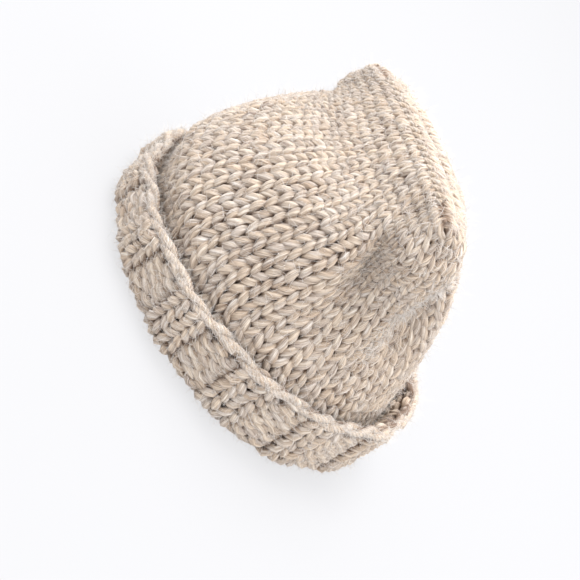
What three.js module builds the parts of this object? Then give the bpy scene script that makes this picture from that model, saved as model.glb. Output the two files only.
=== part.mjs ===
// Cat ear beanie: a thick hand-knitted hat, in millimetres, +Z up. It rests on the fold of its cuff.
// The front of the hat looks to -Y, the wearer's left is +X, and the closing seam runs along X.
import * as THREE from "three";
import { mergeVertices } from "three/addons/utils/BufferGeometryUtils.js";

// Fabric and clearances
const WALL = 9; // thickness of the knitted fabric
const GAP = 0.3; // clearance where two pieces touch
const SAME_POINT = 0.001; // points nearer to each other than this are one

// The turned-up cuff
const RIBS = 13; // raised ribs round the cuff
const STEPS_PER_RIB = 8; // facets across one rib and the furrow beside it
const RIB_RELIEF = 1.3; // how far a rib stands out, and the furrow sinks in
const RIB_STEEPNESS = 1.5; // the higher, the flatter the ribs and furrows and the steeper their sides
const RIB_START = 277; // degrees from +X to the middle of the rib nearest the front
const CUFF_RADIUS = 98.2; // mean outer radius
const CUFF_TOP = 33.1; // mean top of the ribbed fabric, under the cast-on edge
const RIM_SLOPE = 0.1; // the cuff is turned up higher on one side than on the other
const RIM_HIGHEST = 42; // degrees from +X to the side where it is highest
const CUFF_SLACK = 1.6; // air between the turned-up layer and the crown
const FOLD_TOP = 16; // where the fold's inner leg meets the crown
const FOLD_FLAT = 5; // from each face of the fold to its flat bottom
const FOLD_ROUND = 7; // height of the rounding at the bottom of the fold
const CORNER_INSET = 1.4; // how far the slanted corners of the fold and of the rim are drawn in
const RIM_ROUND = 4; // height of the slanted corner on the rim's outside
const LINING_INSET = 0.5; // how far the corner on the rim's inside is drawn in
const LINING_ROUND = 3; // height of that corner
const SLACK_DEPTH = 3; // how far the slack reaches down beside the fold's inner leg

// The cast-on edge, a flattened rope that lies on the cuff's rim
const EDGE_WIDTH = 9.6;
const EDGE_HEIGHT = 5.6;
const EDGE_SIDES = 8;

// The crown
const AROUND = 104; // facets round the crown and the cast-on edge
const BASE_RADIUS = 84; // middle of the wall, inside the cuff
const VALLEY_SPREAD = 13; // degrees, the half width of a valley
const OUTER_VALLEY = 0.75; // how deep a valley is on the outside, as a share of the table's depth
const INNER_VALLEY = 0.6; // the same on the inside, where the thick fabric fills it
const RIGHT_VALLEY = 0.6; // how deep the valleys are on the wearer's right, against the left ones
const LOBE_POWER = 8; // the higher, the closer to the ear's tip its lobe is thickest
const LOBE_PEAK = (LOBE_POWER / (LOBE_POWER + 1)) ** (LOBE_POWER / 2) / Math.sqrt(LOBE_POWER + 1);
const TIP_POWER = 3; // the higher, the shorter the ends that drop
const SIDE_SLOPE = 0.11; // how much higher the wearer's left ear stands
const SIDE_SLOPE_FROM = 10; // the knitted row where that slope starts
const FACING_TURN = 14; // degrees to each side over which the wall's facing is averaged
const FACING_ROWS = 2; // rows up and down over which it is averaged

// The closing seam, a yarn in the furrow along the top
const SEAM_LEAN = 35; // degrees by which the seam faces forward rather than up
const FURROW = 3; // how deep the furrow is
const ROOF_DROP = 7.6; // from the bottom of the furrow down to the inside of the fabric
const SEAM_LENGTH = 90;
const SEAM_RADIUS = 1.6;
const SEAM_STEPS = 24;
const SEAM_SIDES = 8;

// Sections of the crown's middle surface, from the fold to the closing seam.
// row: knitted rows up from the fold. height: above the floor. toSide and toBack: shift of the
// section's middle. halfWidth and halfDepth: its size along X and Y. valley: depth of the two
// valleys beside an ear. before and behind: degrees from the ear to each of them. lobe: how far
// the ear swells between them. drop: how far the ends hang. tilt: the slope by which the back is
// raised and the front lowered.
const COLUMNS = [
  "row", "height", "toSide", "toBack", "halfWidth", "halfDepth",
  "valley", "before", "behind", "lobe", "drop", "tilt",
];
const SECTIONS = [
  [0, FOLD_TOP + GAP, 0, 0, BASE_RADIUS, BASE_RADIUS, 0, 24, 5, 0, 0, 0],
  [2.4, 31, -0.4, -0.4, BASE_RADIUS, BASE_RADIUS, 0, 24, 5, 0, 0, 0],
  [4.6, 45, -4, -4, 84, 84, 0, 24, 5, 0, 0, 0],
  [8.9, 72, -2.5, -7, 79, 72, 9, 22, 8, 3, 0, 0],
  [13, 97, 1, -11, 71, 56, 20, 23, 11, 6, 0, 0],
  [17, 116, 3, -17, 66, 39, 20, 27, 17, 8, 2, 0.1],
  [20.3, 128.5, 2.5, -23, 64, 25, 12, 31, 23, 9, 3, 0.2],
  [23.2, 141, 1, -28, 59, 14, 4, 33, 28, 4, 4, 0.35],
  [26, 146.5, 1, -36, 57, 0, 0, 34, 28, 0, 4, 0],
];
const ROWS = 26;
const OUTER_ROWS = [0, 2.3, 4.6, 6.8, 8.9, 11, 13, 15, 16, 17, 18, 19, 20.3, 21.8, 23.2, 24.4];
const INNER_ROWS = [0, 4.6, 8.9, 11, 13, 15, 17, 19, 21];

const radians = THREE.MathUtils.degToRad;
const around = (steps, step) => (2 * Math.PI * step) / steps;
const steps = (count, make) => Array.from({ length: count }, (_, i) => make(i));

// A smooth curve through one column of the section table, read at a knitted row.
function sectionValue(name, row) {
  const k = COLUMNS.indexOf(name);
  const last = SECTIONS.length - 1;
  let i = 0;
  while (i < last - 1 && SECTIONS[i + 1][0] <= row) i++;
  const slope = (j) => {
    const a = SECTIONS[Math.max(j - 1, 0)];
    const b = SECTIONS[Math.min(j + 1, last)];
    return (b[k] - a[k]) / (b[0] - a[0]);
  };
  const [low, high] = [SECTIONS[i], SECTIONS[i + 1]];
  const span = high[0] - low[0];
  const t = (row - low[0]) / span;
  const rise = t * t * (3 - 2 * t);
  return (
    low[k] * (1 - rise) + high[k] * rise +
    span * slope(i) * t * (1 - t) ** 2 - span * slope(i + 1) * t * t * (1 - t)
  );
}

// 1 in the bottom of a valley and 0 away from it, by the angle from it in radians.
const bell = (angle) => Math.exp(-((angle / radians(VALLEY_SPREAD)) ** 2));

// A point of the crown's middle surface, at an angle from +X and a knitted row. The wearer's right
// half is the left half turned by half a circle, so the fabric twists a little from the base up to
// the ears. The share scales the depth of the valleys.
function crownMiddle(angle, row, share = 1) {
  const at = (name) => sectionValue(name, row);
  const [c, s] = [Math.cos(angle), Math.sin(angle)];
  const half = c < 0 ? -1 : 1;
  const fromEar = Math.atan2(s * half, Math.abs(c));
  const [before, behind] = [radians(at("before")), radians(at("behind"))];
  const depth = at("valley") * share * (c < 0 ? RIGHT_VALLEY : 1);
  const dent = 1 - (depth / BASE_RADIUS) * (bell(fromEar + before) + bell(fromEar - behind));
  const fromLobe = fromEar + (before - behind) / 2;
  const swell = (Math.max(Math.cos(fromLobe), 0) ** LOBE_POWER * Math.sin(fromLobe)) / LOBE_PEAK;
  const x = at("halfWidth") * c * dent;
  const y = at("halfDepth") * s * dent + at("lobe") * swell * half;
  const lean = (SIDE_SLOPE * Math.max(row - SIDE_SLOPE_FROM, 0)) / (ROWS - SIDE_SLOPE_FROM);
  const z = at("height") + lean * x + at("tilt") * y - at("drop") * Math.abs(c) ** TIP_POWER;
  return new THREE.Vector3(x + at("toSide"), y + at("toBack"), z);
}

// The same point moved off the middle surface, outwards by a distance.
function crownSkin(angle, row, distance, share) {
  const turn = radians(FACING_TURN);
  const [low, high] = [Math.max(row - FACING_ROWS, 0), Math.min(row + FACING_ROWS, ROWS)];
  const across = crownMiddle(angle + turn, row).sub(crownMiddle(angle - turn, row));
  const up = crownMiddle(angle, high).sub(crownMiddle(angle, low));
  return crownMiddle(angle, row, share).addScaledVector(across.cross(up).normalize(), distance);
}

// A point of the top line, where the front and the back fabric meet, moved out of the seam.
function seamPoint(angle, distance) {
  const lean = radians(SEAM_LEAN);
  const out = new THREE.Vector3(0, -Math.sin(lean), Math.cos(lean));
  return crownMiddle(angle, ROWS).addScaledVector(out, distance);
}

// A closed skin over rings of equally many points. Points that meet are merged.
function skin(rings, { loop = false, caps = false } = {}) {
  const n = rings[0].length;
  const index = [];
  const last = loop ? rings.length : rings.length - 1;
  for (let r = 0; r < last; r++) {
    for (let i = 0; i < n; i++) {
      const [a, b] = [r * n + i, r * n + ((i + 1) % n)];
      const up = ((r + 1) % rings.length) * n;
      const [d, c] = [up + i, up + ((i + 1) % n)];
      index.push(a, b, c, a, c, d);
    }
  }
  if (caps) {
    const top = (rings.length - 1) * n;
    for (let i = 1; i < n - 1; i++) index.push(0, i + 1, i, top, top + i, top + i + 1);
  }
  const geometry = new THREE.BufferGeometry().setFromPoints(rings.flat());
  geometry.setIndex(index);
  const merged = mergeVertices(geometry, SAME_POINT);
  merged.computeVertexNormals();
  return merged;
}

function crownGeometry() {
  const furrow = WALL / 2 - FURROW;
  const ring = (point) => steps(AROUND, (i) => point(around(AROUND, i)));
  const side = (rows, distance, share) =>
    rows.map((row) => ring((angle) => crownSkin(angle, row, distance, share)));
  const inner = side(INNER_ROWS, -WALL / 2, INNER_VALLEY);
  const outer = side(OUTER_ROWS, WALL / 2, OUTER_VALLEY);
  const roof = ring((angle) => seamPoint(angle, furrow - ROOF_DROP));
  return skin([roof, ...inner.reverse(), ...outer, ring((angle) => seamPoint(angle, furrow))]);
}

// The height of the cuff's ribbed fabric, which slopes evenly across the hat.
function cuffTop(angle) {
  return CUFF_TOP + RIM_SLOPE * CUFF_RADIUS * Math.cos(angle - radians(RIM_HIGHEST));
}

// The cuff's section at one angle, once round: the fold, up the outside, and back down inside.
function cuffProfile(angle) {
  const wave = Math.cos(RIBS * (angle - radians(RIB_START)));
  const face = CUFF_RADIUS + RIB_RELIEF * THREE.MathUtils.clamp(RIB_STEEPNESS * wave, -1, 1);
  const within = BASE_RADIUS - WALL / 2;
  const leg = BASE_RADIUS + WALL / 2;
  const lining = leg + CUFF_SLACK;
  const top = cuffTop(angle);
  return [
    [within + FOLD_FLAT, 0],
    [CUFF_RADIUS - FOLD_FLAT, 0],
    [CUFF_RADIUS - CORNER_INSET, FOLD_ROUND / 3],
    [face, FOLD_ROUND],
    [face, top - RIM_ROUND],
    [CUFF_RADIUS - CORNER_INSET, top],
    [lining + LINING_INSET, top],
    [lining, top - LINING_ROUND],
    [lining, FOLD_TOP - SLACK_DEPTH],
    [leg, FOLD_TOP - SLACK_DEPTH],
    [leg, FOLD_TOP],
    [within, FOLD_TOP],
    [within, FOLD_ROUND],
    [within + CORNER_INSET, FOLD_ROUND / 3],
  ];
}

function cuffGeometry() {
  const count = RIBS * STEPS_PER_RIB;
  const rings = steps(count, (i) => {
    const angle = -around(count, i);
    return cuffProfile(angle).map(
      ([r, z]) => new THREE.Vector3(r * Math.cos(angle), r * Math.sin(angle), z),
    );
  });
  return skin(rings, { loop: true });
}

function castOnEdgeGeometry() {
  const inside = BASE_RADIUS + WALL / 2 + CUFF_SLACK;
  const radius = inside + EDGE_WIDTH / 2;
  const rings = steps(AROUND, (i) => {
    const angle = -around(AROUND, i);
    const middle = cuffTop(angle) + GAP + EDGE_HEIGHT / 2;
    return steps(EDGE_SIDES, (k) => {
      const turn = around(EDGE_SIDES, k);
      const r = radius + (EDGE_WIDTH / 2) * Math.cos(turn);
      const z = middle + (EDGE_HEIGHT / 2) * Math.sin(turn);
      return new THREE.Vector3(r * Math.cos(angle), r * Math.sin(angle), z);
    });
  });
  return skin(rings, { loop: true });
}

// The seam yarn follows the bottom of the furrow.
function topSeamGeometry() {
  const reach = SEAM_LENGTH / 2 / sectionValue("halfWidth", ROWS);
  const lift = WALL / 2 - FURROW + SEAM_RADIUS + GAP;
  const rings = steps(SEAM_STEPS + 1, (i) => {
    const centre = seamPoint(Math.acos(reach * ((2 * i) / SEAM_STEPS - 1)), lift);
    return steps(SEAM_SIDES, (k) => {
      const turn = around(SEAM_SIDES, k);
      const offset = new THREE.Vector3(0, Math.cos(turn), Math.sin(turn));
      return centre.clone().addScaledVector(offset, SEAM_RADIUS);
    });
  });
  return skin(rings, { caps: true });
}

function piece(name, geometry, color) {
  const material = new THREE.MeshStandardMaterial({ color, roughness: 0.95, metalness: 0 });
  const mesh = new THREE.Mesh(geometry, material);
  mesh.name = name;
  return mesh;
}

const hat = new THREE.Group();
hat.add(
  piece("crown", crownGeometry(), 0xc9b9a9),
  piece("cuff", cuffGeometry(), 0xc2b1a0),
  piece("cast_on_edge", castOnEdgeGeometry(), 0xd6c9b8),
  piece("top_seam", topSeamGeometry(), 0xb9a792),
);

export default hat;
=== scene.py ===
# %% [markdown]
# A hand-knitted beanie in very thick marled wool. Its looks come from the yarn itself: every row of
# knitting is one tube, bent into loops that reach into the row below it. This lesson works out those
# tubes with numpy and gives them a wool material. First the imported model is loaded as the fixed
# frame. It tells how large the hat is and where each piece sits.

# %% Load the frame
import math

import bpy
import numpy as np
from mathutils import Matrix, Vector


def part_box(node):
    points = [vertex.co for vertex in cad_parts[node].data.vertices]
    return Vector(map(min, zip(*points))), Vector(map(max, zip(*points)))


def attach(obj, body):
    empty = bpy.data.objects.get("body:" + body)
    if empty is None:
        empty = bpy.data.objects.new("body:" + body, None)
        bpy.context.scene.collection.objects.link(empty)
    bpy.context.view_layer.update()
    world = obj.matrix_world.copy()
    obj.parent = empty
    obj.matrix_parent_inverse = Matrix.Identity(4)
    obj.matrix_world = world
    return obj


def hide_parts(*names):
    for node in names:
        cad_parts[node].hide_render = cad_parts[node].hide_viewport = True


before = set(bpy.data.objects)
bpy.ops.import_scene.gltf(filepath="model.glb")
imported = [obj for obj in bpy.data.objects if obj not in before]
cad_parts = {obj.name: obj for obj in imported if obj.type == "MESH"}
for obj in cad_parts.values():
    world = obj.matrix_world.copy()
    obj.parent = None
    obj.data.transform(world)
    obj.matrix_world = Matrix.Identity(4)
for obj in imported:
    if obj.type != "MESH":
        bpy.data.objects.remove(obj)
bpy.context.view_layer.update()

MM = 0.001

# %% [markdown]
# The camera stands at the photograph's angle to the hat: a little above it, and round to the
# wearer's left. The hat lies on its side in the picture, so the camera is rolled. A long lens keeps
# the perspective as flat as it is there. The camera is aimed beside the hat rather than shifted, so
# that it stays centred in every other view.

# %% Place the camera
AZIMUTH = math.radians(42)
ELEVATION = math.radians(23)
ROLL = math.radians(57)
DISTANCE = 0.9
TARGET = Vector((0, 0, 80 * MM))
PICTURE = 580
TARGET_PIXEL = (354, 236)
FOCAL_PIXELS = 1743


def look_from(azimuth, elevation):
    """The camera's axes before it rolls: to the right, up, and back towards the camera."""
    back = Vector((
        math.sin(azimuth) * math.cos(elevation),
        -math.cos(azimuth) * math.cos(elevation),
        math.sin(elevation),
    ))
    right = Vector((math.cos(azimuth), math.sin(azimuth), 0))
    return right, back.cross(right), back


right, up, back = look_from(AZIMUTH, ELEVATION)
rolled_right = math.cos(ROLL) * right + math.sin(ROLL) * up
rolled_up = math.cos(ROLL) * up - math.sin(ROLL) * right
offset_right = TARGET_PIXEL[0] - PICTURE / 2
offset_up = PICTURE / 2 - TARGET_PIXEL[1]
camera_back = back * FOCAL_PIXELS + rolled_right * offset_right + rolled_up * offset_up
camera_back.normalize()
camera_right = rolled_up.cross(camera_back).normalized()
camera_up = camera_back.cross(camera_right)

camera_data = bpy.data.cameras.new("camera")
camera_data.lens = camera_data.sensor_width * FOCAL_PIXELS / PICTURE
camera_data.clip_start = 0.05
camera = bpy.data.objects.new("camera", camera_data)
axes = Matrix((camera_right, camera_up, camera_back)).transposed()
camera.matrix_world = Matrix.Translation(TARGET + back * DISTANCE) @ axes.to_4x4()
bpy.context.scene.collection.objects.link(camera)
bpy.context.scene.camera = camera
print("lens in mm:", round(camera_data.lens, 1))

# %% [markdown]
# The picture is bright and almost without shadow, as on a white surface under a large soft light.
# The floor here is wide. Most of its brightness is its own glow, so it stays near white and the
# shadows on it are faint.

# %% The floor
FLOOR_HALF = 6.0
FLOOR_CORNERS = ((-1, -1), (1, -1), (1, 1), (-1, 1))


def set_inputs(node, values):
    """Numbers and colours set on a node's own sockets, by the sockets' names."""
    for name, value in values.items():
        node.inputs[name].default_value = value


floor_points = [(x * FLOOR_HALF, y * FLOOR_HALF, 0) for x, y in FLOOR_CORNERS]
floor_mesh = bpy.data.meshes.new("floor")
floor_mesh.from_pydata(floor_points, [], [(0, 1, 2, 3)])
floor = bpy.data.objects.new("floor", floor_mesh)
bpy.context.scene.collection.objects.link(floor)

floor_material = bpy.data.materials.new("white_table")
floor_material.use_nodes = True
set_inputs(floor_material.node_tree.nodes["Principled BSDF"], {
    "Base Color": (0.10, 0.10, 0.103, 1),
    "Roughness": 0.8,
    "Specular IOR Level": 0.1,
    "Emission Color": (0.985, 0.985, 1.0, 1),
    "Emission Strength": 0.72,
})
floor_mesh.materials.append(floor_material)
print("floor in metres:", 2 * FLOOR_HALF)

# %% [markdown]
# A bright world lights the hat from all round. A large square light nearly over the standing hat
# gives the stitches their shadows, and a weaker one to the right of the camera lifts them. The
# Standard view transform keeps near-white places white.

# %% The light


def area_light(name, place, size, power, colour):
    """A square light of that size, facing the hat. Its place is given along the camera's axes
    before it rolls."""
    data = bpy.data.lights.new(name, "AREA")
    data.size = size
    data.energy = power
    data.color = colour
    light = bpy.data.objects.new(name, data)
    light.location = TARGET + right * place[0] + up * place[1] + back * place[2]
    light.rotation_euler = (light.location - TARGET).to_track_quat("Z", "Y").to_euler()
    bpy.context.scene.collection.objects.link(light)
    print(name, "watts", power)


world = bpy.data.worlds.new("soft_room")
world.use_nodes = True
set_inputs(world.node_tree.nodes["Background"], {"Color": (0.96, 0.97, 1.0, 1), "Strength": 1.42})
bpy.context.scene.world = world
area_light("window", (-0.3, 1.25, 0.3), 0.8, 23, (1.0, 0.99, 0.985))
area_light("reflector", (1.0, 0.5, 0.5), 1.2, 5, (1.0, 0.99, 0.98))
bpy.context.scene.view_settings.view_transform = "Standard"

# %% [markdown]
# The crown is one knitted tube, gathered flat at the top. Its middle surface is a stack of
# sections. Each one is an ellipse with two valleys pressed into it beside each ear, and with a lobe
# that swells the ear between them. The wearer's right half is the left half turned by half a
# circle, with shallower valleys. A smooth curve through each column of the table gives the section
# at any row of knitting, so the rows of stitches follow the dome, the valleys and the ears.

# %% The table of sections
STITCHES = 52  # stitches in a row
ROWS = 26  # height of the crown, in knitted rows
COLUMNS = (
    "row", "height", "to_side", "to_back", "half_width", "half_depth",
    "valley", "before", "behind", "lobe", "drop", "tilt",
)
SECTIONS = np.array([
    [0, 16.3, 0, 0, 84, 84, 0, 24, 5, 0, 0, 0],
    [2.4, 31, -0.4, -0.4, 84, 84, 0, 24, 5, 0, 0, 0],
    [4.6, 45, -4, -4, 84, 84, 0, 24, 5, 0, 0, 0],
    [8.9, 72, -2.5, -7, 79, 72, 9, 22, 8, 3, 0, 0],
    [13, 97, 1, -11, 71, 56, 20, 23, 11, 6, 0, 0],
    [17, 116, 3, -17, 66, 39, 20, 27, 17, 8, 2, 0.1],
    [20.3, 128.5, 2.5, -23, 64, 25, 12, 31, 23, 9, 3, 0.2],
    [23.2, 141, 1, -28, 59, 14, 4, 33, 28, 4, 4, 0.35],
    [26, 146.5, 1, -36, 57, 0, 0, 34, 28, 0, 4, 0],
])


def section(name, row):
    """One column of the table at any row: a cubic curve through its entries, whose slope at an
    entry is that of the chord between the entries before and after it."""
    rows, entries = SECTIONS[:, 0], SECTIONS[:, COLUMNS.index(name)]
    below = np.maximum(np.arange(len(rows)) - 1, 0)
    above = np.minimum(np.arange(len(rows)) + 1, len(rows) - 1)
    slope = (entries[above] - entries[below]) / (rows[above] - rows[below])
    i = np.clip(np.searchsorted(rows, row, side="right") - 1, 0, len(rows) - 2)
    span = rows[i + 1] - rows[i]
    t = (row - rows[i]) / span
    rise = t * t * (3 - 2 * t)
    ends = entries[i] * (1 - rise) + entries[i + 1] * rise
    return ends + span * (slope[i] * t * (1 - t) ** 2 - slope[i + 1] * t * t * (1 - t))


print("the crown's height in mm at rows 0, 13 and 26:", section("height", np.array([0, 13, ROWS])))

# %% The crown's middle surface
BASE_RADIUS = 84.0
VALLEY_SPREAD = math.radians(13)  # angle from its bottom where a valley has fallen to 1/e
LEFT_VALLEY = 1.1  # depth of the valleys on the wearer's left, as a share of the table's
RIGHT_VALLEY = 0.6  # the same on the right
LOBE_POWER = 8  # the higher, the closer to the ear's tip its lobe is thickest
LOBE_PEAK = (LOBE_POWER / (LOBE_POWER + 1)) ** (LOBE_POWER / 2) / math.sqrt(LOBE_POWER + 1)
TIP_POWER = 3  # the higher, the shorter the ends that drop
SIDE_SLOPE = 0.11  # slope of the top row, up to the wearer's left
SIDE_SLOPE_FROM = 10  # the row where that slope starts


def valleys(angle, row):
    """How far into a valley a place lies: 1 at its bottom, falling off as exp(-x^2) of the angle
    from it. The second value is the angle from the middle of the ear's lobe."""
    c, s = np.cos(angle), np.sin(angle)
    from_ear = np.arctan2(s * np.where(c < 0, -1.0, 1.0), np.abs(c))
    before, behind = np.radians(section("before", row)), np.radians(section("behind", row))
    front = np.exp(-(((from_ear + before) / VALLEY_SPREAD) ** 2))
    rear = np.exp(-(((from_ear - behind) / VALLEY_SPREAD) ** 2))
    return front + rear, from_ear + (before - behind) / 2


def crown_middle(angle, row):
    """A point in the middle of the crown's wall, in millimetres: an ellipse times the dent of the
    valleys, plus the lobe of the ear. The height is the section's, plus a slope to the side, plus
    a tilt to the back, minus the drop of the ends."""
    c, s = np.cos(angle), np.sin(angle)
    half = np.where(c < 0, -1.0, 1.0)
    share = np.where(c < 0, RIGHT_VALLEY, LEFT_VALLEY)
    bells, from_lobe = valleys(angle, row)
    dent = 1 - section("valley", row) / BASE_RADIUS * share * bells
    swell = np.maximum(np.cos(from_lobe), 0) ** LOBE_POWER * np.sin(from_lobe) / LOBE_PEAK * half
    x = section("half_width", row) * c * dent
    y = section("half_depth", row) * s * dent + section("lobe", row) * swell
    lean = SIDE_SLOPE * np.maximum(row - SIDE_SLOPE_FROM, 0) / (ROWS - SIDE_SLOPE_FROM)
    z = section("height", row) + lean * x + section("tilt", row) * y
    z = z - section("drop", row) * np.abs(c) ** TIP_POWER
    return np.stack([x + section("to_side", row), y + section("to_back", row), z], -1)


print("the left ear at row 20, in mm:", crown_middle(np.array([0.0]), np.array([20.0])).round(1))

# %% Which way the crown faces
FACING_TURN = math.radians(10)  # step to each side over which the facing is averaged
FACING_ROWS = 1.0  # step up and down over which it is averaged


def unit(vectors):
    """Vectors scaled to length one."""
    return vectors / np.maximum(np.linalg.norm(vectors, axis=-1, keepdims=True), 1e-12)


def crown_frame(angle, row):
    """The middle point and the outward direction: the cross product of a step round the hat and a
    step up it. The steps are wide, so that the direction turns gently through the valleys."""
    angle, row = np.broadcast_arrays(angle, row)
    low, high = np.maximum(row - FACING_ROWS, 0), np.minimum(row + FACING_ROWS, ROWS)
    across = crown_middle(angle + FACING_TURN, row) - crown_middle(angle - FACING_TURN, row)
    upward = crown_middle(angle, high) - crown_middle(angle, low)
    return crown_middle(angle, row), unit(np.cross(across, upward))


print("the left ear faces", crown_frame(np.array([0.0]), np.array([20.0]))[1].round(2))

# %% [markdown]
# Every row of the crown has the same 52 stitches, though the hat grows narrower to the top. The
# stitches stay nearly as wide as at the brim on the ears and the front, and are crowded into the
# valleys, where the cloth folds away. So a column runs where the length along the row, counted
# more in the valleys, is its share of the whole row. The lengths are added up once on a grid.

# %% Where each column runs
FIRST_COLUMN = math.radians(277)
CROWDING = 0.9  # extra closeness at the bottom of a valley
CROWDING_ROWS = (6, 16)  # rows between which the crowding sets in
TOP_ROW = ROWS - 0.05
grid_rows = np.linspace(0, TOP_ROW, 105)
grid_angles = FIRST_COLUMN + np.linspace(0, 2 * np.pi, 1441)
grid_points = crown_middle(grid_angles[None], grid_rows[:, None])


def crowding(angle, row):
    """How many times closer the columns lie than on open cloth: 1, and more in the valleys."""
    low, high = CROWDING_ROWS
    return 1 + CROWDING * np.clip((row - low) / (high - low), 0, 1) * valleys(angle, row)[0] ** 2


grid_steps = np.linalg.norm(np.diff(grid_points, axis=1), axis=-1)
grid_steps *= crowding((grid_angles[1:] + grid_angles[:-1])[None] / 2, grid_rows[:, None])
row_lengths = grid_steps.sum(1)
grid_shares = np.pad(grid_steps.cumsum(1), ((0, 0), (1, 0))) / row_lengths[:, None]
even_shares = np.linspace(0, 1, 1041)
share_angles = np.stack([np.interp(even_shares, shares, grid_angles) for shares in grid_shares])


def column_angle(column, row):
    """The angle of a column at a row, read between the four nearest entries of the grid."""
    across = (column / STITCHES) % 1 * (len(even_shares) - 1)
    upward = np.clip(row / grid_rows[-1], 0, 1) * (len(grid_rows) - 1)
    i = np.minimum(upward.astype(int), len(grid_rows) - 2)
    j = np.minimum(across.astype(int), len(even_shares) - 2)
    s, t = upward - i, across - j
    low = share_angles[i, j] * (1 - t) + share_angles[i, j + 1] * t
    high = share_angles[i + 1, j] * (1 - t) + share_angles[i + 1, j + 1] * t
    return low * (1 - s) + high * s


base_middle_top = row_lengths[[0, len(grid_rows) // 2, -1]] / STITCHES
print("a stitch is", base_middle_top.round(1), "mm wide at the base, middle and top")

# %% [markdown]
# One stitch of knitting is a loop. The yarn climbs, turns over at the loop's head, comes back
# down and runs on to the next loop. The head lies behind the legs of the stitch above, and the
# legs lie in front. Seen from the front only the two legs show, as a V. Three waves along the
# yarn make that loop: a slow one lifts it, and two of double pace move it sideways and in and out.
# Turned front to back the same path is a purl stitch, which shows its head and foot as two bars.
# A hand never makes two stitches alike, so each one gets its own small changes.

# %% The path of a row of stitches
SAMPLES = 16  # points of the path in one stitch
LOOP_DEPTH = 2.4
YARN_RADIUS = 2.38
BACK_THINNING = 0.08  # half of the share by which the yarn is thinner at the back
# How far stitches differ: column in stitches, row in rows, depth in mm, the others as shares.
SPREADS = {"neck": 0.12, "height": 0.06, "column": 0.035, "row": 0.06, "depth": 0.3, "thickness": 0.07}
random = np.random.default_rng(7)


def per_stitch(rings, spread, along):
    """A random value for each stitch of each row, joined by smooth steps from stitch to stitch."""
    values = random.normal(0, spread, (rings, STITCHES))
    i = np.floor(along).astype(int) % STITCHES
    t = along - np.floor(along)
    t = t * t * (3 - 2 * t)
    return values[:, i] * (1 - t) + values[:, (i + 1) % STITCHES] * t


def stitch_rows(rows, face, neck, height):
    """Rows of stitches as columns, rows and depths in millimetres. With t from -1/2 to 1/2 across
    a stitch, the column is t plus the neck times (0.9 sin 4 pi t - 0.1 sin 12 pi t), whose second
    part straightens the legs. The row is lifted by the height times cos 2 pi t, and the depth is
    minus cos 4 pi t, times face: 1 on knit columns, -1 on purl ones."""
    along = STITCHES / 2 + np.arange(STITCHES * SAMPLES) / SAMPLES
    t = along % 1 - 0.5
    rings = len(rows)
    neck = neck * (1 + per_stitch(rings, SPREADS["neck"], along))
    height = height * (1 + per_stitch(rings, SPREADS["height"], along))
    swing = 0.9 * np.sin(4 * np.pi * t) - 0.1 * np.sin(12 * np.pi * t)
    column = along + neck * swing + per_stitch(rings, SPREADS["column"], along)
    row = rows[:, None] + height * np.cos(2 * np.pi * t) + per_stitch(rings, SPREADS["row"], along)
    front = -face(column) * np.cos(4 * np.pi * t)
    depth = front * LOOP_DEPTH + per_stitch(rings, SPREADS["depth"], along)
    thickness = YARN_RADIUS * (1 + per_stitch(rings, SPREADS["thickness"], along))
    thickness = thickness * (1 - BACK_THINNING + BACK_THINNING * front)
    return column, row, depth, thickness


print("points in a row of stitches:", STITCHES * SAMPLES)

# %% [markdown]
# A tube follows each path. Its section has ten corners, every second one further out. These are
# the five strands that the yarn is twisted from, and each section is turned a little against
# the last, so the strands wind round the yarn. The UV map runs round the yarn and along it, and
# one more value on each corner says how far it stands out from the middle of the fabric.

# %% Meshes from arrays


def mesh_object(name, points, faces, uv=None, rise=None):
    """An object from numpy arrays, in millimetres, shaded smooth."""
    mesh = bpy.data.meshes.new(name)
    mesh.from_pydata(points * MM, [], faces)
    mesh.shade_smooth()
    if uv is not None:
        mesh.uv_layers.new(name="yarn").data.foreach_set("uv", uv.astype(np.float32).ravel())
    if rise is not None:
        values = mesh.attributes.new("rise", "FLOAT", "POINT")
        values.data.foreach_set("value", rise.astype(np.float32).ravel())
    made = bpy.data.objects.new(name, mesh)
    bpy.context.scene.collection.objects.link(made)
    return made


# %% Tubes of yarn
SIDES = 10  # corners of the yarn's section
STRANDS = SIDES // 2
STRAND_RELIEF = 0.07  # how far the strands stand out, as a share of the radius
TWISTS = 60  # turns of the strands in one row
YARN_PER_STITCH = 28.0  # mm of yarn that the UV map counts for a stitch
ROWS_APART = 411.0  # mm by which the UV map shifts from row to row, so that neighbours differ


def yarn(name, centres, outward, thickness, depth, closed=True):
    """Tubes round paths, one path to a line of the arrays. A corner of the section stands off the
    path by the thickness times the cosine of its turn to the side and the sine to the front. Where
    the yarn is squeezed thin from the sides, it stays thicker from front to back."""
    rings, steps = thickness.shape
    if closed:
        along = unit(np.roll(centres, -1, 1) - np.roll(centres, 1, 1))
    else:
        along = unit(np.gradient(centres, axis=1))
    side = unit(np.cross(along, outward))
    front = np.cross(side, along)
    corner = np.arange(SIDES)
    twist = -TWISTS * np.arange(steps)[:, None] / (STITCHES * SAMPLES)
    turn = 2 * np.pi * (corner / SIDES + twist)
    relief = 1 + STRAND_RELIEF * np.cos(np.pi * corner)
    wide = np.cos(turn) * relief * thickness[..., None]
    deep = np.sin(turn) * relief * np.sqrt(thickness * YARN_RADIUS)[..., None]
    offset = wide[..., None] * side[:, :, None] + deep[..., None] * front[:, :, None]
    points = centres[:, :, None] + offset
    rise = depth[..., None] + (offset * outward[:, :, None]).sum(-1)
    faces, uv = tube_faces(rings, steps, closed)
    made = mesh_object(name, points.reshape(-1, 3), faces, uv, rise)
    print(name, "triangles", 2 * len(faces))
    shape = {"points": points, "along": along, "outward": outward, "rise": rise}
    return made, shape


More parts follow.
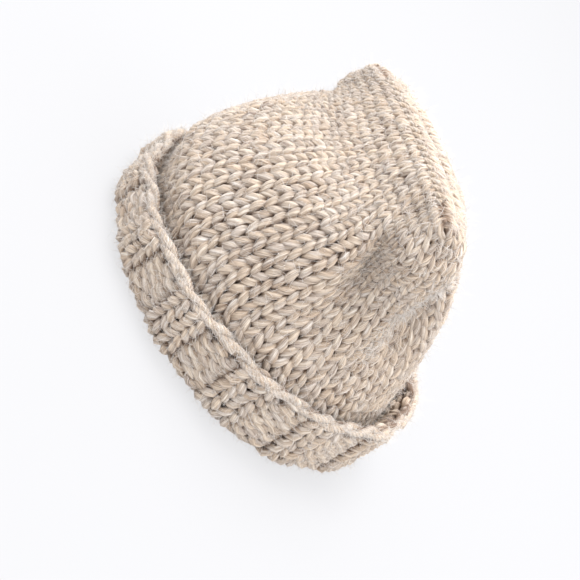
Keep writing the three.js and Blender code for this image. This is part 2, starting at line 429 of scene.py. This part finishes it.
def tube_faces(rings, steps, closed):
    """Quads between neighbouring sections and their UV map, and a flat end at each side of a tube
    that isn't closed."""
    bands = steps if closed else steps - 1
    ring, step, k = np.meshgrid(np.arange(rings), np.arange(bands), np.arange(SIDES), indexing="ij")

    def vertex(step, corner):
        return (ring * steps + step % steps) * SIDES + corner % SIDES

    quads = [vertex(step, k), vertex(step + 1, k), vertex(step + 1, k + 1), vertex(step, k + 1)]
    faces = np.stack(quads, -1).reshape(-1, 4).tolist()
    u = np.stack([k, k, k + 1, k + 1], -1) / SIDES
    v = np.stack([step, step + 1, step + 1, step], -1) * YARN_PER_STITCH / SAMPLES
    v = v + ring[..., None] * ROWS_APART
    uv = np.stack([u, v * MM], -1).reshape(-1, 2)
    if not closed:
        ends = np.arange(rings * steps * SIDES).reshape(rings, steps, SIDES)[:, [0, -1]]
        faces += ends[:, 0].tolist() + ends[:, 1, ::-1].tolist()
        uv = np.concatenate([uv, np.zeros((2 * rings * SIDES, 2))])
    return faces, uv


print("faces in a row of yarn:", len(tube_faces(1, STITCHES * SAMPLES, True)[0]))

# %% [markdown]
# The wool is drawn by shader nodes. A few short helpers keep that readable: each one adds a node
# and gives back its output, and takes either numbers or the outputs of other nodes.

# %% Helpers for shader nodes
NOISE_STRETCH = 2.2  # noise stays near a half by itself, so it is stretched about it


def add_node(tree, kind, **settings):
    """A new node of that kind, with those settings."""
    made = tree.nodes.new(kind)
    for name, value in settings.items():
        setattr(made, name, value)
    return made


def feed(tree, socket, value):
    """Another node's output linked to a socket, or a number or colour set on it."""
    if isinstance(value, bpy.types.NodeSocket):
        tree.links.new(value, socket)
    else:
        socket.default_value = value


def calculate(tree, operation, *values):
    """The result of a Math node."""
    made = add_node(tree, "ShaderNodeMath", operation=operation)
    for socket, value in zip(made.inputs, values):
        feed(tree, socket, value)
    return made.outputs[0]


def combine(tree, *parts):
    """A vector from its three parts."""
    made = add_node(tree, "ShaderNodeCombineXYZ")
    for socket, value in zip(made.inputs, parts):
        feed(tree, socket, value)
    return made.outputs[0]


def noise(tree, place, scale, detail, roughness):
    """Noise stretched about its mean of a half."""
    made = add_node(tree, "ShaderNodeTexNoise")
    set_inputs(made, {"Scale": scale, "Detail": detail, "Roughness": roughness})
    tree.links.new(place, made.inputs["Vector"])
    stretched = calculate(tree, "MULTIPLY", made.outputs["Fac"], NOISE_STRETCH)
    return calculate(tree, "ADD", stretched, (1 - NOISE_STRETCH) / 2)


def ramp(tree, value, stops, lightness=1.0):
    """Colours along a value, joined evenly and made lighter or darker."""
    made = add_node(tree, "ShaderNodeValToRGB")
    elements = made.color_ramp.elements
    elements.remove(elements[1])
    for i, (position, colour) in enumerate(stops):
        stop = elements[0] if i == 0 else elements.new(position)
        stop.position = position
        stop.color = (*[c * lightness for c in colour], 1)
    tree.links.new(value, made.inputs[0])
    return made.outputs[0]


def multiply(tree, share, first, second):
    """The first colour, multiplied by a share of the second."""
    made = add_node(tree, "ShaderNodeMix", data_type="RGBA", blend_type="MULTIPLY")
    colours = [socket for socket in made.inputs if socket.type == "RGBA"]
    feed(tree, made.inputs["Factor"], share)
    feed(tree, colours[0], first)
    feed(tree, colours[1], second)
    return [socket for socket in made.outputs if socket.type == "RGBA"][0]


# %% [markdown]
# The yarn is marled. It is twisted from five strands, and each one changes its shade along the
# yarn, from brown over tan to cream, and its hue from greyish to straw. One noise picks a strand's
# shade and one its hue. A third, stretched along the yarn, draws the single fibres, and a fourth
# makes whole patches of the hat a little lighter or darker.

# %% The marled colours
STRAND_COLOURS = (
    (0.00, (0.230, 0.182, 0.150)),
    (0.16, (0.400, 0.325, 0.270)),
    (0.32, (0.560, 0.455, 0.360)),
    (0.48, (0.650, 0.550, 0.450)),
    (0.60, (0.680, 0.580, 0.470)),
    (0.76, (0.790, 0.710, 0.610)),
    (1.00, (0.900, 0.850, 0.770)),
)
STRAND_HUES = (
    (0.25, (0.95, 0.96, 1.00)),
    (0.55, (1.00, 0.98, 0.96)),
    (0.95, (1.00, 0.95, 0.90)),
)
# Where the noise is read: the step from strand to strand, the pace to a metre of yarn, the level.
SHADE_NOISE = (7.3, 70, 0.0)
HUE_NOISE = (5.1, 40, 9.0)
FIBRES_ROUND = 5.0  # radius of the circle on which the fibres' noise is read round the yarn
FIBRE_PACE = 250  # and its pace to a metre of yarn
PATCH_SCALE = 22
STRAND_SHARE = 0.40  # how much the strands and the patches change the shade that the fibres give
PATCH_SHARE = 0.12
SHADE_SHIFT = -0.25


def yarn_places(tree):
    """Where a point lies on its yarn: the turn round it, the length along it and its strand's
    number, which changes in the grooves."""
    uv = add_node(tree, "ShaderNodeUVMap", uv_map="yarn")
    parts = add_node(tree, "ShaderNodeSeparateXYZ")
    tree.links.new(uv.outputs[0], parts.inputs[0])
    turn = calculate(tree, "MULTIPLY", parts.outputs[0], 2 * math.pi)
    strand = calculate(tree, "ADD", calculate(tree, "MULTIPLY", parts.outputs[0], STRANDS), 0.5)
    strand = calculate(tree, "FLOOR", calculate(tree, "FLOORED_MODULO", strand, STRANDS))
    return turn, parts.outputs[1], strand


def strand_noise(tree, strand, length, reading, detail):
    """Noise that runs along each strand and differs from strand to strand."""
    apart, pace, level = reading
    across = calculate(tree, "MULTIPLY", strand, apart)
    onward = calculate(tree, "MULTIPLY", length, pace)
    return noise(tree, combine(tree, across, onward, level), 1.0, detail, 0.5)


def fibres(tree, turn, length):
    """Noise read on a circle round the yarn, drawn out along it."""
    x = calculate(tree, "MULTIPLY", calculate(tree, "COSINE", turn), FIBRES_ROUND)
    y = calculate(tree, "MULTIPLY", calculate(tree, "SINE", turn), FIBRES_ROUND)
    z = calculate(tree, "MULTIPLY", length, FIBRE_PACE)
    return noise(tree, combine(tree, x, y, z), 1.0, 3.0, 0.6)


def marl(tree, length, strand, fibre, lightness):
    """The strand's colour: a ramp read at the sum of the noises, times the hue."""
    strand_shade = strand_noise(tree, strand, length, SHADE_NOISE, 1.0)
    strand_hue = strand_noise(tree, strand, length, HUE_NOISE, 0.0)
    place = add_node(tree, "ShaderNodeTexCoord").outputs["Object"]
    patch = noise(tree, place, PATCH_SCALE, 2.0, 0.5)
    shade = calculate(tree, "MULTIPLY", strand_shade, STRAND_SHARE)
    shade = calculate(tree, "ADD", shade, SHADE_SHIFT)
    shade = calculate(tree, "ADD", shade, fibre)
    shade = calculate(tree, "ADD", shade, calculate(tree, "MULTIPLY", patch, PATCH_SHARE))
    colours = ramp(tree, shade, STRAND_COLOURS, lightness)
    return multiply(tree, 1.0, colours, ramp(tree, strand_hue, STRAND_HUES))


print("shades of the strands:", len(STRAND_COLOURS))

# %% [markdown]
# In the grooves between strands and near the middle of the fabric the colour is painted browner and
# darker: painted shade, standing for the light that bounces between the loops. The fibres and the
# grooves are also raised with bump, and sheen gives the pale bloom of wool against the light.

# %% The wool material
# Painted shade: the colour that the wool is darkened towards deep in the fabric and in the grooves.
PAINTED_SHADE_COLOUR = (0.33, 0.27, 0.235, 1)
PAINTED_SHADE_FULL = 0.4  # mm from the middle of the fabric up to which the painted shade is full
PAINTED_SHADE_NONE = 4.4  # and where none is left
# The share of painted shade in the grooves between strands.
GROOVE_PAINTED_SHADE = 0.34
GROOVE_BUMP = 0.6
WOOL_FINISH = {
    "Roughness": 0.95,
    "Specular IOR Level": 0.1,
    "Sheen Weight": 0.2,
    "Sheen Roughness": 0.5,
    "Sheen Tint": (1.0, 0.96, 0.92, 1),
}


def wool(name, lightness):
    """A Principled shader whose colour and bump follow the yarn's own UV map, with painted shade in the
    hollows.
    """
    material = bpy.data.materials.new(name)
    material.use_nodes = True
    tree = material.node_tree
    shader = tree.nodes["Principled BSDF"]
    set_inputs(shader, WOOL_FINISH)
    turn, length, strand = yarn_places(tree)
    fibre = fibres(tree, turn, length)
    colour = marl(tree, length, strand, fibre, lightness)

    groove = calculate(tree, "COSINE", calculate(tree, "MULTIPLY", turn, STRANDS))
    groove = calculate(tree, "SUBTRACT", 0.5, calculate(tree, "MULTIPLY", groove, 0.5))
    # Painted shade: the colour is darkened near the middle of the fabric and, by a share, in the
    # grooves between strands.
    rise = add_node(tree, "ShaderNodeAttribute", attribute_name="rise").outputs["Fac"]
    deep = add_node(tree, "ShaderNodeMapRange", interpolation_type="SMOOTHSTEP")
    set_inputs(deep, {"From Min": PAINTED_SHADE_FULL, "From Max": PAINTED_SHADE_NONE, "To Min": 1.0, "To Max": 0.0})
    tree.links.new(calculate(tree, "ABSOLUTE", rise), deep.inputs["Value"])
    groove_shade = calculate(tree, "MULTIPLY", groove, GROOVE_PAINTED_SHADE)
    painted_shade = calculate(tree, "ADD", deep.outputs["Result"], groove_shade)
    tree.links.new(multiply(tree, painted_shade, colour, PAINTED_SHADE_COLOUR), shader.inputs["Base Color"])

    bump = add_node(tree, "ShaderNodeBump")
    set_inputs(bump, {"Strength": 0.6, "Distance": 0.7 * MM})
    sunk = calculate(tree, "MULTIPLY", groove, GROOVE_BUMP)
    tree.links.new(calculate(tree, "SUBTRACT", fibre, sunk), bump.inputs["Height"])
    tree.links.new(bump.outputs[0], shader.inputs["Normal"])
    print(name, "nodes", len(tree.nodes))
    return material


crown_wool = wool("marled_wool", 1.03)
cuff_wool = wool("marled_wool_rib", 1.01)
edge_wool = wool("marled_wool_edge", 1.06)
seam_wool = wool("marled_wool_seam", 0.95)


def finish(piece, material, node):
    """The wool, the body and the node that a piece stands for."""
    piece.data.materials.append(material)
    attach(piece, "root")
    if node:
        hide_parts(node)


# %% [markdown]
# The crown is knitted in plain stockinette: every column is a knit column and shows its V's. The
# legs of a V are long and lean well apart, so each V sits between the tops of the one below, like
# a plait. The surface is 26 rows high. Two pieces have nine rows of stitches each, and the upper
# piece has six that lie further apart. Three pieces keep each one light. Towards the top the
# stitches grow narrower, and the yarn is squeezed thinner.

# %% The crown's rows
CROWN_NECK = 0.285
CROWN_LOOP = 0.9
FULL_WIDTH = 9.6  # width in mm of a stitch whose yarn has its full thickness
THINNEST = 0.3  # the narrowest stitch that still thins the yarn, as a share of that width
THINNING = 0.55  # the power of the width by which the yarn thins


def crown_rows(name, rows):
    """Rows of knit stitches laid on the crown: the path's column and row give a point and an
    outward direction, and its depth moves the point along that direction."""
    loop = CROWN_LOOP * (rows[1] - rows[0])
    column, row, depth, thickness = stitch_rows(rows, np.ones_like, CROWN_NECK, loop)
    row = np.clip(row, 0, TOP_ROW)
    angle = column_angle(column, row)
    middle, outward = crown_frame(angle, row)
    width = np.interp(row, grid_rows, row_lengths) / STITCHES / crowding(angle, row)
    thickness = thickness * np.clip(width / FULL_WIDTH, THINNEST, 1) ** THINNING
    centres = middle + outward * depth[..., None]
    made, shape = yarn(name, centres, outward, thickness, depth)
    finish(made, crown_wool, "crown")
    return shape


crown_parts = [
    crown_rows("crown_rows_lower", np.arange(0, 9) + 0.5),
    crown_rows("crown_rows_middle", np.arange(9, 18) + 0.5),
    crown_rows("crown_rows_upper", np.linspace(18.6, 24.9, 6)),
]

# %% [markdown]
# The cuff is the same fabric in ribbing, two knit columns and two purl columns by turns. It is
# turned up, so it is knitted from its rim down to the fold and up again inside, and its V's stand
# on their heads. The knit columns rise into round ribs and the purl columns sink between them.
# The rim slopes across the hat, as the cuff is turned up further on one side.

# %% The cuff's middle surface
WALL = 9.0
RIB_RELIEF = 1.3
RIB_STEEPNESS = 2.5  # the higher, the flatter the ribs and furrows and the steeper their sides
RIM_MEAN = 32.6
RIM_SLOPE = 9.8
RIM_HIGHEST = math.radians(42)
CUFF_ROWS = 9
CUFF_MIDDLE = 94.1
FOLD_RADIUS = (CUFF_MIDDLE - BASE_RADIUS) / 2
FOLD_CENTRE = BASE_RADIUS + FOLD_RADIUS
FOLD_HEIGHT = WALL / 2 + FOLD_RADIUS
CUFF_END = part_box("crown")[0].z / MM


def rib_face(column):
    """1 on the two knit columns of a rib and -1 on the two purl columns beside it."""
    return np.clip(RIB_STEEPNESS * np.cos(np.pi * column / 2), -1, 1)


def rim_height(angle):
    """The height of the cuff's upper rim, which slopes evenly across the hat."""
    return RIM_MEAN + RIM_SLOPE * np.cos(angle - RIM_HIGHEST)


def cuff_frame(column, row):
    """A point and an outward direction of the cuff's middle surface. The row is a share of the
    length from the rim: straight down, half round the fold, then straight up inside."""
    angle = FIRST_COLUMN + column * 2 * np.pi / STITCHES
    down = rim_height(angle) - FOLD_HEIGHT
    bend = np.pi * FOLD_RADIUS
    length = row / CUFF_ROWS * (down + bend + CUFF_END - FOLD_HEIGHT)
    turned = np.clip((length - down) / FOLD_RADIUS, 0, np.pi)
    relief = RIB_RELIEF * rib_face(column) * np.cos(turned / 2) ** 2
    r = FOLD_CENTRE + FOLD_RADIUS * np.cos(turned) + relief
    z = FOLD_HEIGHT - FOLD_RADIUS * np.sin(turned)
    z = z + np.maximum(down - length, 0) + np.maximum(length - down - bend, 0)
    c, s = np.cos(angle), np.sin(angle)
    outward = np.stack([c * np.cos(turned), s * np.cos(turned), -np.sin(turned)], -1)
    return np.stack([r * c, r * s, z], -1), outward


print("the fold's radius in mm:", round(FOLD_RADIUS, 2))

# %% The cuff's rows
CUFF_NECK = 0.29
CUFF_LOOP = 0.8
CUFF_THICKNESS = 1.03  # thickness of its yarn, as a share of the crown's
CUFF_DEPTH = 1.2  # how far its loops reach in and out, as a share of the crown's
CUFF_PAST = 0.3  # rows by which a loop may reach past the two ends


def cuff_rows(name, rows):
    """Rows of ribbing laid on the cuff."""
    column, row, depth, thickness = stitch_rows(rows, rib_face, CUFF_NECK, CUFF_LOOP)
    depth = depth * CUFF_DEPTH
    middle, outward = cuff_frame(column, np.clip(row, -CUFF_PAST, CUFF_ROWS + CUFF_PAST))
    centres = middle + outward * depth[..., None]
    made, shape = yarn(name, centres, outward, thickness * CUFF_THICKNESS, depth)
    finish(made, cuff_wool, "cuff")
    return shape


cuff_part = cuff_rows("cuff_rows", np.arange(CUFF_ROWS) + 0.5)

# %% [markdown]
# Along the rim lies the cast-on edge, the first loops of the knitting. Long strands cross over
# each other there like a rope of two. It is a little paler than the fabric. Two tubes wind round
# one ring, half a turn apart, and sit close on the first row of the ribbing.

# %% The cast-on edge
ROPE_TURNS = 17
ROPE_OFFSET = 1.45  # from the ring to the middle of a strand
ROPE_RADIUS = 2.0
ROPE_ABOVE = 1.5  # from the rim up to the ring
ROPE_OUT = 0.9  # from the middle of the cuff out to the ring
ROPE_RELIEF = 0.9  # how far the ring follows the ribs
ROPE_FACING = math.pi / 5  # how far the rope looks up, rather than outwards
ROPE_DEPTH = (2.2, 1.2)  # its depth in the fabric, which sets its painted shade and where hairs start, and how far that swings
ROPE_SPREADS = {"turn": 0.35, "out": 0.4, "up": 0.5, "thickness": 0.08}


def cast_on_edge():
    """Two strands about a ring: each strand stands off the ring by the cosine of its turn
    outwards and the sine of its turn upwards."""
    along = STITCHES / 2 + np.arange(STITCHES * SAMPLES) / SAMPLES
    turn = 2 * np.pi * ROPE_TURNS * along / STITCHES + np.array([[0], [np.pi]])
    turn = turn + per_stitch(2, ROPE_SPREADS["turn"], along)[:1]
    angle = FIRST_COLUMN + along * 2 * np.pi / STITCHES
    r = CUFF_MIDDLE + ROPE_OUT + ROPE_RELIEF * rib_face(along)
    r = r + per_stitch(2, ROPE_SPREADS["out"], along)[:1] + ROPE_OFFSET * np.cos(turn)
    z = rim_height(angle) + ROPE_ABOVE
    z = z + per_stitch(2, ROPE_SPREADS["up"], along)[:1] + ROPE_OFFSET * np.sin(turn)
    centres = np.stack([r * np.cos(angle), r * np.sin(angle), z], -1)
    level, upright = math.cos(ROPE_FACING), math.sin(ROPE_FACING)
    out = np.stack([np.cos(angle) * level, np.sin(angle) * level], -1)
    out = np.concatenate([out, np.full((len(angle), 1), upright)], -1)
    outward = np.broadcast_to(out, centres.shape)
    depth = ROPE_DEPTH[0] + ROPE_DEPTH[1] * np.cos(turn - ROPE_FACING)
    thickness = ROPE_RADIUS * (1 + per_stitch(2, ROPE_SPREADS["thickness"], along))
    made, shape = yarn("cast_on_strands", centres, outward, thickness, depth)
    finish(made, edge_wool, "cast_on_edge")
    return shape


edge_part = cast_on_edge()

# %% [markdown]
# One strand closes the top. It goes over the edge where the front meets the back, stitch after
# stitch, and draws in the last row, so it lies in a furrow and only parts of it show. The seam
# faces forward, as the back of the hat rolls over the top.

# %% The closing seam
SEAM_STITCHES = 20
SEAM_RADIUS = 1.2
SEAM_SWING = 1.8  # how far a stitch reaches over to each side
SEAM_HEIGHT = (1.2, 0.6)  # mean height of the strand over the top line, and how far it swings
SEAM_DEPTH = 2.5  # its depth in the fabric, which sets its painted shade
SEAM_LEAN = math.radians(35)


def top_seam():
    """A coil along the top line: one turn to a stitch, flattened, along the whole of the seam."""
    low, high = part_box("top_seam")
    top = np.array([ROWS])
    t = np.linspace(0, 1, SEAM_STITCHES * SAMPLES)[None]
    x = (low.x + (high.x - low.x) * t) / MM
    angle = np.arccos((x - section("to_side", top)) / section("half_width", top))
    middle = crown_middle(angle, np.full(x.shape, float(ROWS)))
    out = np.array([0, -math.sin(SEAM_LEAN), math.cos(SEAM_LEAN)])
    over = np.array([0, math.cos(SEAM_LEAN), math.sin(SEAM_LEAN)])
    turn = 2 * np.pi * SEAM_STITCHES * t
    height = SEAM_HEIGHT[0] + SEAM_HEIGHT[1] * np.cos(turn)
    centres = middle + height[..., None] * out + SEAM_SWING * np.sin(turn)[..., None] * over
    outward = np.broadcast_to(out, centres.shape)
    thickness = np.full(t.shape, SEAM_RADIUS)
    depth = SEAM_DEPTH + np.cos(turn)
    made, _ = yarn("seam_stitches", centres, outward, thickness, depth, closed=False)
    finish(made, seam_wool, "top_seam")


top_seam()

# %% [markdown]
# Loose hairs stand off the yarn all over, and make the soft halo along the outline. Each one is a
# thin three-sided spike that starts on the yarn and curls away. Thousands of them are made in
# one go from arrays: a root, a direction, a length and a bend for each. All have one pale colour.

# %% The hairs' material and faces
HAIR_STEPS = 2  # straight pieces of a hair
HAIR_SIDES = 3

fuzz_material = bpy.data.materials.new("loose_hairs")
fuzz_material.use_nodes = True
set_inputs(fuzz_material.node_tree.nodes["Principled BSDF"], {
    "Base Color": (0.82, 0.77, 0.72, 1),
    "Roughness": 0.8,
    "Sheen Weight": 0.4,
})


def spike_faces(count):
    """Faces of so many spikes: quads between the sections, triangles at the tip, and one triangle
    that closes the root."""
    tip = HAIR_STEPS * HAIR_SIDES
    first = (np.arange(count) * (tip + 1))[:, None]
    lower = np.arange(HAIR_STEPS - 1) * HAIR_SIDES
    s, k = np.meshgrid(lower, np.arange(HAIR_SIDES), indexing="ij")
    s, k = s.ravel(), k.ravel()
    n = (k + 1) % HAIR_SIDES
    quads = [first + s + k, first + s + n, first + s + HAIR_SIDES + n, first + s + HAIR_SIDES + k]
    k = np.arange(HAIR_SIDES)
    last = first + tip - HAIR_SIDES
    end = np.broadcast_to(first + tip, (count, HAIR_SIDES))
    tips = np.stack([last + k, last + (k + 1) % HAIR_SIDES, end], -1)
    caps = np.concatenate([first + 2, first + 1, first], -1)
    quads = np.stack(quads, -1).reshape(-1, 4)
    return quads.tolist() + tips.reshape(-1, HAIR_SIDES).tolist() + caps.tolist()


print("faces of one hair:", len(spike_faces(1)))

# %% [markdown]
# Hairs start only where the yarn stands out from the fabric. Six hundred longer and thicker ones
# line the rim of the wearer's left ear.

# %% Loose hairs
ROOT_RISE = 2.0  # mm outside the middle of the fabric, beyond which a hair may start
HAIR_ALONG = 1.2  # how strongly a hair follows its yarn
HAIR_OUT = (0.2, 1.6)  # least and most that it turns outwards
HAIR_SAG = 0.3  # how strongly it bends back to the fabric
HAIR_CURL = 0.45  # how far it bends, as a share of its length
HAIR_EVENNESS = 4  # the higher, the more alike the lengths
HAIR_LONGEST = 1.8  # as a share of the mean length
HAIR_TAPER = 0.75  # how fast a hair thins on its way to the tip, which is a point
FLOOR_CLEAR = 0.2  # mm over the floor below which no hair reaches
EAR_CENTRE = (3, -17, 100)
EAR_RIM_TURN = 9  # degrees from +X to the rim of the wearer's left ear
EAR_RIM_SPREAD = 6  # degrees to each side of it
EAR_RIM_REACH = 32  # mm up and down from the ear's centre


def on_ear_rim(points):
    """Whether points lie on the rim of the wearer's left ear, by their direction and height."""
    turn = np.degrees(np.arctan2(points[:, 1] - EAR_CENTRE[1], points[:, 0] - EAR_CENTRE[0]))
    near = np.abs(turn - EAR_RIM_TURN) < EAR_RIM_SPREAD
    return near & (np.abs(points[:, 2] - EAR_CENTRE[2]) < EAR_RIM_REACH)


def hairs(name, shapes, count, length, radius, where=None):
    """Spikes along curves. A curve leaves its root in a direction between the yarn's own and the
    outward one, and bends by the square of the way along it. Three corners make its section,
    which shrinks to a point."""
    points = np.concatenate([shape["points"].reshape(-1, 3) for shape in shapes])
    along = np.concatenate([np.repeat(shape["along"].reshape(-1, 3), SIDES, 0) for shape in shapes])
    outward = np.concatenate([np.repeat(shape["outward"].reshape(-1, 3), SIDES, 0) for shape in shapes])
    allowed = np.concatenate([shape["rise"].ravel() for shape in shapes]) > ROOT_RISE
    if where is not None:
        allowed = allowed & where(points)
    chosen = random.choice(np.flatnonzero(allowed), count, replace=False)
    root, out = points[chosen], outward[chosen]
    way = random.normal(0, 1, (count, 3))
    way = way + along[chosen] * random.choice([-1, 1], (count, 1)) * HAIR_ALONG
    way = unit(way + out * random.uniform(*HAIR_OUT, (count, 1)))
    bend = unit(random.normal(0, 1, (count, 3)) - HAIR_SAG * out)
    size = random.gamma(HAIR_EVENNESS, 1 / HAIR_EVENNESS, (count, 1, 1))
    size = length * np.minimum(size, HAIR_LONGEST)
    t = np.linspace(0, 1, HAIR_STEPS + 1)[None, :, None]
    curve = root[:, None] + size * (way[:, None] * t + HAIR_CURL * bend[:, None] * t * t)
    curve[..., 2] = np.maximum(curve[..., 2], FLOOR_CLEAR)

    side = unit(np.cross(way, bend))[:, None, None]
    other = unit(np.cross(way, side[:, 0, 0]))[:, None, None]
    corner = 2 * np.pi * np.arange(HAIR_SIDES) / HAIR_SIDES
    offset = np.cos(corner)[:, None] * side + np.sin(corner)[:, None] * other
    ring = curve[:, :-1, None] + (radius * (1 - t[:, :-1] * HAIR_TAPER))[..., None] * offset
    points = np.concatenate([ring.reshape(count, -1, 3), curve[:, -1:]], 1).reshape(-1, 3)
    made = mesh_object(name, points, spike_faces(count))
    finish(made, fuzz_material, None)
    print(name, "hairs", count, "length in mm", length)


hairs("crown_hairs", crown_parts, 19000, 4.8, 0.1)
hairs("ear_rim_hairs", crown_parts, 600, 5.5, 0.15, on_ear_rim)
hairs("cuff_hairs", [cuff_part, edge_part], 19000, 4.4, 0.1)
